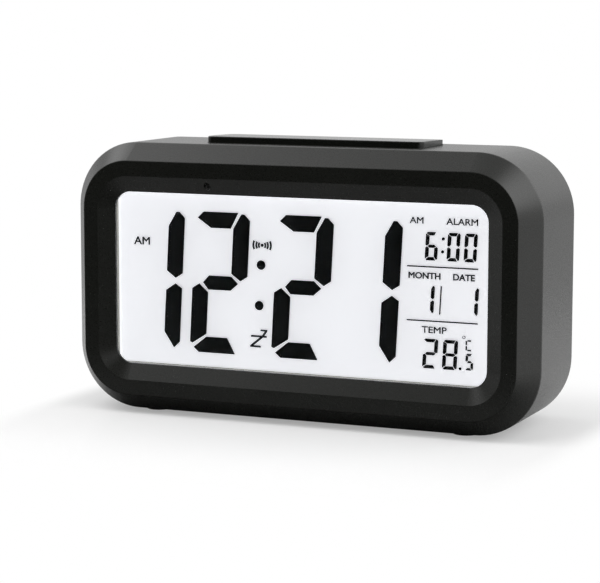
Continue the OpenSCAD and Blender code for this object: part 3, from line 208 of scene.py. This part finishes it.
def make_floor():
    """A pale card that keeps the clock's shadow, lightened with painted white, and turns white a little way
    from it.
    """
    shape = bmesh.new()
    bmesh.ops.create_grid(shape, x_segments=1, y_segments=1, size=4.0)
    floor = bpy.data.objects.new("floor", shape_mesh("floor", shape))
    bpy.context.scene.collection.objects.link(floor)
    material = new_material("matte_white_card_floor")
    place = add(material, "TexCoord").outputs["Object"]
    parts = add(material, "SeparateXYZ", {"Vector": place})
    beyond = []
    for axis, half in (("X", CASE_HIGH.x), ("Y", CASE_HIGH.y)):
        size = add(material, "Math", {0: parts.outputs[axis]}, operation="ABSOLUTE").outputs[0]
        past = add(material, "Math", {0: size, 1: half}, operation="SUBTRACT").outputs[0]
        beyond.append(add(material, "Math", {0: past, 1: 0.0}, operation="MAXIMUM").outputs[0])
    away = add(material, "CombineXYZ", {"X": beyond[0], "Y": beyond[1]}).outputs[0]
    length = add(material, "VectorMath", {0: away}, operation="LENGTH").outputs["Value"]
    # the painted white that lifts the real shadow comes in sooner beside the clock than in front, so a way
    # to the side counts for more and the shadow stays long in front of the clock and short beside it
    side_weight = 5
    spans = add(material, "VectorMath", {0: away, 1: (side_weight, 1, 1)},
                operation="MULTIPLY").outputs[0]
    reach = add(material, "VectorMath", {0: spans}, operation="LENGTH").outputs["Value"]
    # even next to the clock a third of what the camera sees of the floor is painted white, which lightens
    # the real shadow
    near_white = 0.33
    fade = add(material, "MapRange", {"Value": reach, "From Min": 20 * MM, "From Max": 75 * MM,
                                      "To Min": near_white},
               interpolation_type="SMOOTHSTEP").outputs["Result"]
    rays = add(material, "LightPath")
    seen = add(material, "Math", {0: rays.outputs["Is Camera Ray"],
                                  1: rays.outputs["Is Transmission Ray"]}, operation="MAXIMUM").outputs[0]
    white_part = add(material, "Math", {0: fade, 1: seen}, operation="MULTIPLY").outputs[0]
    card = add(material, "BsdfDiffuse", {"Color": linear("#f2f2f2")})
    sheen = add(material, "BsdfGlossy", {"Color": WHITE, "Roughness": 0.2})
    sheen_part = 0.04
    surface = add(material, "MixShader", {0: sheen_part, 1: card.outputs[0], 2: sheen.outputs[0]})
    white = add(material, "Emission", {"Color": WHITE, "Strength": 1.0})
    level = add(material, "MixShader", {0: white_part, 1: surface.outputs[0], 2: white.outputs[0]})
    # for gloss the card ends in the room, and sooner in front; in front of the clock gloss also sees painted
    # shade, black on the card that is strongest next to the clock and stands for its shadow there
    behind, in_front = (120 * MM, 300 * MM), (30 * MM, 75 * MM)
    front = add(material, "MapRange", {"Value": parts.outputs["Y"], "From Min": 0.0,
                                       "From Max": CASE_LOW.y})
    near_end, far_end = (add(material, "MapRange", {"Value": front.outputs[0], "To Min": back,
                                                    "To Max": fore})
                         for back, fore in zip(behind, in_front))
    past_card = add(material, "MapRange", {"Value": length, "From Min": near_end.outputs[0],
                                           "From Max": far_end.outputs[0]},
                    interpolation_type="SMOOTHSTEP").outputs["Result"]
    # painted shade: how much black gloss sees on the card in front of the clock, most next to it and less
    # further out
    painted_shade_strength = add(material, "MapRange", {"Value": length, "From Min": 5 * MM, "From Max": 45 * MM,
                                       "To Min": 0.95, "To Max": 0.45}).outputs["Result"]
    painted_gloss_shade_part = add(material, "Math", {0: painted_shade_strength, 1: front.outputs[0]}, operation="MULTIPLY").outputs[0]
    for part, dark in ((painted_gloss_shade_part, add(material, "BsdfDiffuse", {"Color": linear("#000000")})),
                       (past_card, add(material, "BsdfTransparent"))):
        share = add(material, "Math", {0: part, 1: rays.outputs["Is Glossy Ray"]},
                    operation="MULTIPLY").outputs[0]
        level = add(material, "MixShader", {0: share, 1: level.outputs[0], 2: dark.outputs[0]})
    floor.data.materials.append(finish_material(material, level.outputs[0]))


# ---------------------------------------------------------------- materials

def moulded_plastic(name, colour, roughness, grain=0.35 * MM):
    """Moulded ABS or rubber. Spark-eroded grain in the tool leaves a satin skin that softens highlights.

    Real grain is about 0.1 mm, which is too fine to show, so it is drawn coarser.
    """
    material = new_material(name)
    fine = noise(material, grain, 3.0).outputs[0]
    cloud = noise(material, 14 * MM).outputs[0]
    skin = add(material, "Bump", {"Height": fine, "Strength": 0.35,
                                  "Distance": 0.02 * MM}).outputs[0]
    shade = add(material, "Mix", {0: spread(material, cloud, 0.0, 1.0), MIX_A: linear(colour[0]),
                                  MIX_B: linear(colour[1])}, data_type="RGBA").outputs[MIX_RESULT]
    shader = add(material, "BsdfPrincipled", {
        "Base Color": shade, "Roughness": spread(material, fine, roughness - 0.05, roughness + 0.05),
        "IOR": 1.5, "Normal": skin})
    return finish_material(material, shader.outputs[0])


def clear_sheet(name, tint, roughness=0.03, ior=1.49):
    """A clear sheet, polished on both faces. It shows what lies behind, and the room only by its gloss.

    The display's glass and films are bonded to one another and hardly mirror, so their IOR is near 1.
    """
    material = new_material(name)
    through = add(material, "BsdfTransparent", {"Color": linear(tint)})
    gloss = add(material, "BsdfGlossy", {"Color": WHITE, "Roughness": roughness})
    share = add(material, "Fresnel", {"IOR": ior}).outputs[0]
    both = add(material, "MixShader", {0: share, 1: through.outputs[0], 2: gloss.outputs[0]})
    return finish_material(material, both.outputs[0])


def plain_finish(name, colour, roughness, metallic=0.0, speck=2 * MM, vary=0.06):
    """A finish with a slight, cloudy change of shade and roughness, as small stamped parts have."""
    material = new_material(name)
    cloud = noise(material, speck).outputs[0]
    tone = spread(material, cloud, 1 - vary, 1 + vary)
    shade = add(material, "HueSaturation", {"Value": tone, "Color": linear(colour)}).outputs[0]
    shader = add(material, "BsdfPrincipled", {
        "Base Color": shade, "Metallic": metallic, "IOR": 1.5,
        "Roughness": spread(material, cloud, roughness - 0.04, roughness + 0.04)})
    return finish_material(material, shader.outputs[0])


def pearl_film():
    """Transflective film behind the glass: a pearly, faintly blue white, evenly lit from behind. The glow
    stands for the backlight and is also painted light that evens out the shade the frame casts near the
    display's edges.
    """
    material = new_material("pearl_white_film")
    cloud = noise(material, 0.4 * MM).outputs[0]
    shade = add(material, "Mix", {0: spread(material, cloud, 0.0, 1.0), MIX_A: linear("#f0f1f4"),
                                  MIX_B: linear("#f4f5f7")}, data_type="RGBA").outputs[MIX_RESULT]
    # painted light in part: the glow stands for the backlight and lifts the frame's shade at the display's
    # edges
    shader = add(material, "BsdfPrincipled", {
        "Base Color": shade, "Roughness": 0.75, "Specular IOR Level": 0.2,
        "Emission Color": linear("#f4f5f9"), "Emission Strength": 0.65})
    return finish_material(material, shader.outputs[0])


def board_laminate():
    """Glass-fibre board under green solder resist: copper runs show through as lighter green lines."""
    material = new_material("green_resist_circuit_board")
    place = add(material, "TexCoord").outputs["Object"]
    runs = add(material, "TexBrick", {"Vector": place, "Scale": 1 / (6 * MM), "Mortar Size": 0.03,
                                      "Color1": linear("#12402a"), "Color2": linear("#164a30"),
                                      "Mortar": linear("#2a6a46")})
    shader = add(material, "BsdfPrincipled", {"Base Color": runs.outputs["Color"], "Roughness": 0.3,
                                              "IOR": 1.5})
    return finish_material(material, shader.outputs[0])


def cell_jacket():
    """Shrunk PVC film on a dry cell: grey over most of its length, paler at the positive end."""
    material = new_material("printed_shrink_film")
    _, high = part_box("battery_1")
    band_from, edge = high.x - 14 * MM, 0.3 * MM
    place = add(material, "TexCoord").outputs["Object"]
    across = add(material, "SeparateXYZ", {"Vector": place}).outputs["X"]
    band = add(material, "MapRange", {"Value": across, "From Min": band_from,
                                      "From Max": band_from + edge}).outputs["Result"]
    shade = add(material, "Mix", {0: band, MIX_A: linear("#7d8486"), MIX_B: linear("#c6c8c7")},
                data_type="RGBA").outputs[MIX_RESULT]
    shader = add(material, "BsdfPrincipled", {"Base Color": shade, "Roughness": 0.28, "IOR": 1.53,
                                              "Coat Weight": 0.3})
    return finish_material(material, shader.outputs[0])


def striped_silicone():
    """Elastomer connector: silicone in layers, pale insulating and dark conducting in turn.

    Real layers are about 0.05 mm, which is too fine to show, so they are drawn coarser.
    """
    material = new_material("layered_silicone")
    place = add(material, "TexCoord").outputs["Object"]
    pitch = 0.24 * MM
    wave = add(material, "TexWave", {"Vector": place, "Scale": 1 / (pitch * 2 * math.pi)},
               bands_direction="X").outputs[0]
    shade = add(material, "Mix", {0: wave, MIX_A: linear("#dcdbd7"), MIX_B: linear("#8d8c8a")},
                data_type="RGBA").outputs[MIX_RESULT]
    shader = add(material, "BsdfPrincipled", {"Base Color": shade, "Roughness": 0.6, "IOR": 1.41})
    return finish_material(material, shader.outputs[0])


def make_materials():
    """One material for each slot of the record."""
    return {
        "case_plastic": moulded_plastic("black_moulded_abs", ("#131411", "#161714"), 0.3),
        "bar_plastic": moulded_plastic("black_satin_abs_bar", ("#151614", "#181916"), 0.19),
        "button_plastic": moulded_plastic("dark_grey_abs_buttons", ("#2a2b2d", "#303133"), 0.42),
        "rubber": moulded_plastic("black_moulded_rubber", ("#0d0d0d", "#121212"), 0.75, 0.6 * MM),
        "clear_plastic": clear_sheet("clear_polished_acrylic", "#ffffff"),
        "smoked_plastic": plain_finish("smoked_acrylic", "#141413", 0.22, vary=0.03),
        "glass": clear_sheet("clear_float_glass", "#ffffff", 0.01, 1.02),
        "polariser_film": clear_sheet("clear_polarising_film", "#ffffff", 0.1, 1.02),
        "display_ground": pearl_film(),
        "display_ink": plain_finish("dark_liquid_crystal", "#0d1416", 0.6, vary=0.03),
        "edge_resin": plain_finish("cured_edge_resin", "#e2e1d6", 0.4),
        "white_plastic": moulded_plastic("white_moulded_abs", ("#e6e7e8", "#ecedee"), 0.4),
        "lamp": plain_finish("white_lamp_epoxy", "#f5efd0", 0.3),
        "board": board_laminate(),
        "black_plastic": plain_finish("black_glass_filled_resin", "#1c1c1d", 0.5, speck=0.8 * MM),
        "steel": plain_finish("bright_zinc_plated_steel", "#c4c5c8", 0.28, 1.0, speck=1 * MM),
        "capacitor_sleeve": plain_finish("dark_blue_pvc_sleeve", "#1b2342", 0.35),
        "resin_bead": plain_finish("dipped_epoxy_bead", "#1e5a3c", 0.25),
        "brass": plain_finish("rolled_brass", "#c9a557", 0.3, 1.0),
        "elastomer": striped_silicone(),
        "cell_jacket": cell_jacket(),
        "lead_sleeve": plain_finish("red_pvc_wire_sleeve", "#8f1f1c", 0.4),
    }


def dress_nodes(materials):
    """Gives each CAD node the finish of its slot in the record."""
    for row in frame["record"]["subparts"]:
        mesh = NODES[row["node"]].data
        mesh.materials.clear()
        mesh.materials.append(materials[row["material_slot"]])


# ---------------------------------------------------------------- words, signs and small pieces

def to_piece(name, mesh, material, body="case"):
    """Makes a finished mesh a piece that rides on a body."""
    piece = bpy.data.objects.new(name, mesh)
    bpy.context.scene.collection.objects.link(piece)
    mesh.materials.clear()
    mesh.materials.append(material)
    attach(piece, body)
    return piece


def embolden(shape, amount):
    """Moves the side walls of upright letters outwards by amount, an M's too.

    The font's own offset breaks an M.
    """
    sharpest = 0.15  # holds the corner of a very sharp letter back
    moves = []
    for v in shape.verts:
        walls = [f.normal for f in v.link_faces if abs(f.normal.z) < 0.5]
        other = min(walls, key=walls[0].dot)
        moves.append((v, (walls[0] + other) * amount / max(1 + walls[0].dot(other), sharpest)))
    for v, move in moves:
        v.co += move


def letter_mesh(text, weight):
    """A word in the plain default face, half a unit deep each way, made bolder by weight."""
    curve = bpy.data.curves.new("letters_curve", "FONT")
    curve.body = text
    curve.extrude = 0.5
    letters = bpy.data.objects.new("letters", curve)
    bpy.context.scene.collection.objects.link(letters)
    bpy.context.view_layer.update()
    mesh = bpy.data.meshes.new_from_object(letters)
    bpy.data.objects.remove(letters)
    bpy.data.curves.remove(curve)
    shape = bmesh.new()
    shape.from_mesh(mesh)
    bmesh.ops.remove_doubles(shape, verts=shape.verts, dist=0.001)
    bmesh.ops.recalc_face_normals(shape, faces=shape.faces)
    embolden(shape, weight)
    shape.to_mesh(mesh)
    shape.free()
    return mesh


def word_mesh(name, words, near, far, from_behind=False):
    """Joins words into one mesh. Each word is (text, weight, left, right, bottom, top) in millimetres."""
    whole = bmesh.new()
    for text, weight, *edges in words:
        left, right, bottom, top = (edge * MM for edge in edges)
        mesh = letter_mesh(text, weight)
        xs = [v.co.x for v in mesh.vertices]
        ys = [v.co.y for v in mesh.vertices]
        wide = (right - left) / (max(xs) - min(xs))
        tall = (top - bottom) / (max(ys) - min(ys))
        deep = far - near
        for v in mesh.vertices:
            along = (v.co.x - min(xs)) * wide
            x, y = (right - along, 0.5 + v.co.z) if from_behind else (left + along, 0.5 - v.co.z)
            v.co = (x, near + y * deep, bottom + (v.co.y - min(ys)) * tall)
        whole.from_mesh(mesh)
        bpy.data.meshes.remove(mesh)
    bmesh.ops.remove_doubles(whole, verts=whole.verts, dist=1e-7)
    bmesh.ops.recalc_face_normals(whole, faces=whole.faces)
    return shape_mesh(name, whole)


def make_captions(ink):
    """The small words on the display, printed at the depth of its strokes."""
    low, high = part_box("lcd_segments")
    words = [("AM", 0.022, -50.0, -45.0, 46.8, 49.0), ("AM", 0.018, 31.4, 35.3, 55.95, 57.7),
             ("ALARM", 0.018, 41.55, 50.3, 55.95, 57.7), ("MONTH", 0.036, 31.2, 40.15, 41.45, 43.2),
             ("DATE", 0.036, 43.6, 49.6, 41.45, 43.2), ("TEMP", 0.02, 35.0, 42.0, 27.2, 28.95)]
    captions = word_mesh("display_captions", words, low.y, high.y)
    to_piece("display_captions", captions, ink)


def ring_part(shape, centre, radius, width, start, sweep, near, far):
    """Adds an upright bar bent round a centre: a whole ring where sweep is a full turn."""
    grid = bmesh.ops.create_grid(shape, x_segments=1, y_segments=1, size=0.5)["verts"]
    bmesh.ops.scale(shape, verts=grid, vec=(width, far - near, 1))
    middle = Vector((centre.x, (near + far) / 2, centre.z))
    bmesh.ops.translate(shape, verts=grid, vec=middle + Vector((radius, 0, 0)))
    bmesh.ops.rotate(shape, verts=grid, cent=middle, matrix=Matrix.Rotation(-start, 3, "Y"))
    faces = list({f for v in grid for f in v.link_faces})
    edges = list({e for f in faces for e in f.edges})
    whole = math.isclose(sweep, 2 * math.pi)
    bmesh.ops.spin(shape, geom=grid + faces + edges, cent=middle, axis=(0, -1, 0), angle=sweep,
                   steps=24 if whole else 10, use_merge=whole)


def flat_sign(shape, outline, near, far):
    """Adds a sign of even depth from the corners of its outline, in millimetres across and up."""
    face = shape.faces.new([shape.verts.new((x * MM, near, z * MM)) for x, z in outline])
    moved = bmesh.ops.extrude_face_region(shape, geom=[face])["geom"]
    corners = [v for v in moved if isinstance(v, bmesh.types.BMVert)]
    bmesh.ops.translate(shape, vec=(0, far - near, 0), verts=corners)


def bar_part(shape, left, right, bottom, top, near, far):
    """Adds one straight stroke."""
    size = Matrix.Diagonal((right - left, far - near, top - bottom, 1))
    place = Matrix.Translation(((left + right) / 2, (near + far) / 2, (bottom + top) / 2))
    bmesh.ops.create_cube(shape, size=1, matrix=place @ size)


def make_legends(ink):
    """What each rear control does, pad-printed above it on the floor of the recess."""
    recess_depth, sunk, proud = 1.2 * MM, 0.02 * MM, 0.04 * MM
    floor_y = CASE_HIGH.y - recess_depth
    near, far = floor_y - sunk, floor_y + proud
    middles = {}
    for node in ("set_button", "alarm_button", "up_button", "down_button", "sensor_slider"):
        low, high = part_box(node)
        middles[node] = (low + high) / 2 / MM
    # in millimetres, as the words and signs are
    bottom = middles["set_button"].z + 4.0
    top = bottom + 1.3
    weight, half_arrow = 0.02, 0.9
    words = []
    # each word: the control it belongs to, its letters, how far it stands beside it and half its width
    for node, text, shift, half in (("set_button", "SET", 0, 1.6),
                                    ("alarm_button", "ALARM", 0, 2.7),
                                    ("sensor_slider", "ON", 3.4, 1.3),
                                    ("sensor_slider", "OFF", -1.4, 1.6)):
        x = middles[node].x + shift
        words.append((text, weight, x - half, x + half, bottom, top))
    legends = word_mesh("rear_legends", words, near, far, from_behind=True)
    to_piece("rear_legends", legends, ink)
    shape = bmesh.new()
    for node, point, foot in (("up_button", top, bottom), ("down_button", bottom, top)):
        x = middles[node].x
        flat_sign(shape, [(x - half_arrow, foot), (x + half_arrow, foot), (x, point)], near, far)
    bmesh.ops.recalc_face_normals(shape, faces=shape.faces)
    to_piece("rear_arrows", shape_mesh("rear_arrows", shape), ink)


def make_pressed_springs(material):
    """The two springs under the snooze bar, in a piece of their own."""
    shape = bmesh.new()
    shape.from_mesh(NODES["snooze_springs"].data)
    bmesh.ops.remove_doubles(shape, verts=shape.verts, dist=1e-6)
    mesh = shape_mesh("snooze_springs_soft", shape)
    springs = to_piece("snooze_springs_soft", mesh, material)
    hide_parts("snooze_springs")
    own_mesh(springs)


def make_sensor_dome(material):
    """The low dome that closes the light pipe in the upper bevel."""
    low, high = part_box("light_pipe")
    half = (high.x - low.x) / 2
    rise = 0.4 * half
    radius = (half * half + rise * rise) / (2 * rise)
    shape = bmesh.new()
    bmesh.ops.create_uvsphere(shape, u_segments=32, v_segments=48, radius=radius)
    ball = shape.verts[:] + shape.edges[:] + shape.faces[:]
    cut = bmesh.ops.bisect_plane(shape, geom=ball, dist=1e-7, plane_co=(0, 0, radius - rise),
                                 plane_no=(0, 0, 1), clear_inner=True)
    rim = [e for e in cut["geom_cut"] if isinstance(e, bmesh.types.BMEdge)]
    bmesh.ops.contextual_create(shape, geom=rim)
    bmesh.ops.translate(shape, verts=shape.verts, vec=(0, 0, rise - radius))
    bmesh.ops.rotate(shape, verts=shape.verts, matrix=Matrix.Rotation(math.pi / 2, 3, "X"))
    middle = (low + high) / 2
    bmesh.ops.translate(shape, verts=shape.verts, vec=(middle.x, low.y, middle.z))
    bmesh.ops.recalc_face_normals(shape, faces=shape.faces)
    # the rim's one large face stays flat
    for face in shape.faces:
        face.smooth = len(face.verts) < 5
    to_piece("sensor_dome", shape_mesh("sensor_dome", shape), material)


def make_icons(ink):
    """The sound sign above the colon, the sleep sign below it, and the temperature's ring and unit."""
    low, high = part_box("lcd_segments")
    near, far = low.y, high.y
    shape = bmesh.new()
    bell = Vector((-11.0, 0, 48.2)) * MM
    dot_r, wave_width = 0.45 * MM, 0.55 * MM
    dot = bmesh.ops.create_cone(shape, cap_ends=True, segments=20, radius1=dot_r, radius2=dot_r,
                                depth=far - near)["verts"]
    bmesh.ops.rotate(shape, verts=dot, matrix=Matrix.Rotation(math.pi / 2, 3, "X"))
    bmesh.ops.translate(shape, verts=dot, vec=(bell.x, (near + far) / 2, bell.z))
    for radius, half_turn in ((0.98, 0.75), (1.72, 0.57), (2.6, 0.47)):
        for side in (0, math.pi):
            ring_part(shape, bell, radius * MM, wave_width, side - half_turn, 2 * half_turn, near, far)
    # a large Z with a small one that grows out of its upper right
    flat_sign(shape, [(-14.35, 23.55), (-11.05, 23.55), (-10.25, 24.7), (-11.5, 24.7), (-11.5, 25.2),
                      (-9.45, 25.2), (-9.45, 24.75), (-10.35, 23.5), (-9.65, 23.5), (-9.65, 22.98),
                      (-10.75, 22.98), (-13.55, 20.75), (-11.45, 20.75), (-11.45, 20.2), (-14.6, 20.2),
                      (-14.6, 20.7), (-11.75, 23.0), (-14.35, 23.0)], near, far)
    degree = Vector((46.75, 0, 26.65)) * MM
    ring_part(shape, degree, 0.36 * MM, 0.16 * MM, 0, 2 * math.pi, near, far)
    # the unit is drawn as two level strokes and two upright ones
    unit_low, unit_high = (Vector(corner) * MM for corner in ((47.55, 0, 23.05), (48.75, 0, 26.0)))
    thin = 0.42 * MM
    gap = 0.22 * MM
    middle = (unit_low.z + unit_high.z) / 2
    for bottom in (unit_low.z, unit_high.z - thin):
        bar_part(shape, unit_low.x + gap, unit_high.x, bottom, bottom + thin, near, far)
    for bottom, top in ((unit_low.z + gap, middle - gap / 2), (middle + gap / 2, unit_high.z - gap)):
        bar_part(shape, unit_low.x - thin + gap / 2, unit_low.x + gap / 2, bottom, top, near, far)
    bmesh.ops.recalc_face_normals(shape, faces=shape.faces)
    to_piece("display_icons", shape_mesh("display_icons", shape), ink)


# ---------------------------------------------------------------- the scene

make_camera()
make_room()
make_lamp("key_softbox", (-0.3, -0.45, 1.15), 0.8, 5.5)
make_floor()
finishes = make_materials()
dress_nodes(finishes)
caption_ink = plain_finish("grey_caption_ink", "#2a3034", 0.6, vary=0.03)
make_captions(caption_ink)
make_icons(caption_ink)
make_sensor_dome(finishes["smoked_plastic"])
make_pressed_springs(finishes["steel"])
make_legends(plain_finish("pale_grey_pad_print", "#b4b6b8", 0.5, vary=0.03))

scene = bpy.context.scene
scene.view_settings.view_transform = "Standard"
scene.cycles.transparent_max_bounces = 24
